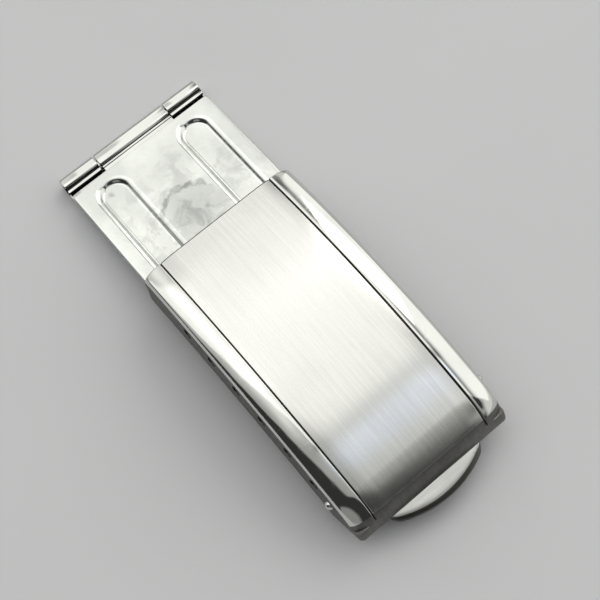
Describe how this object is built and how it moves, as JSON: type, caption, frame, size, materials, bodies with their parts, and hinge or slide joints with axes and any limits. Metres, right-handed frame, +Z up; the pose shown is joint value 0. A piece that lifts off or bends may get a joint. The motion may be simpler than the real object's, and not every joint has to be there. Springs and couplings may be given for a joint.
{
  "type": "watch bracelet clasp",
  "caption": "Folding steel bracelet clasp: arched cover with grooved rails and finger lip, hinged on a sprung bar to a channelled blade that folds over a lower blade.",
  "frame": {"origin": "middle of the bounding box in X and Y, at the plane it rests on", "axes": "+X from the fold hinge to the finger lip, +Y across the clasp, +Z up, away from the wrist"},
  "size_m": [0.0456, 0.0174, 0.0073],
  "materials": {
    "satin_steel": "brushed top with mirror-polished rails",
    "polished_steel": "polished, lightly scratched",
    "spring_steel": "drawn wire"
  },
  "bodies": {
    "lower": {"lower_blade": "polished_steel", "fold_pin": "polished_steel"},
    "upper": {"upper_blade": "polished_steel", "hinge_bar_sleeve": "polished_steel", "hinge_bar_spring": "spring_steel"},
    "cover": {"cover": "satin_steel"},
    "tip_left": {"hinge_bar_tip_left": "polished_steel"},
    "tip_right": {"hinge_bar_tip_right": "polished_steel"}
  },
  "joints": [
    {"name": "fold_hinge", "type": "hinge", "parent": "lower", "child": "upper", "pos_m": [-0.02186, 0, 0.00095], "axis": [0, -1, 0], "range_deg": [0, 165]},
    {"name": "cover_hinge", "type": "hinge", "parent": "upper", "child": "cover", "pos_m": [0.01699, 0, 0.00377], "axis": [0, 1, 0], "range_deg": [0, 141]},
    {"name": "tip_left_slide", "type": "slide", "parent": "upper", "child": "tip_left", "axis": [0, -1, 0], "range_m": [0, 0.001], "stiffness_N_per_m": 300, "springref_m": -0.001, "deforming": ["hinge_bar_spring"]},
    {"name": "tip_right_slide", "type": "slide", "parent": "upper", "child": "tip_right", "axis": [0, 1, 0], "range_m": [0, 0.001], "stiffness_N_per_m": 300, "springref_m": -0.001, "deforming": ["hinge_bar_spring"]}
  ],
  "couplings": [
    {"joint": "cover_hinge", "follows": "fold_hinge", "ratio": 0.85}
  ]
}
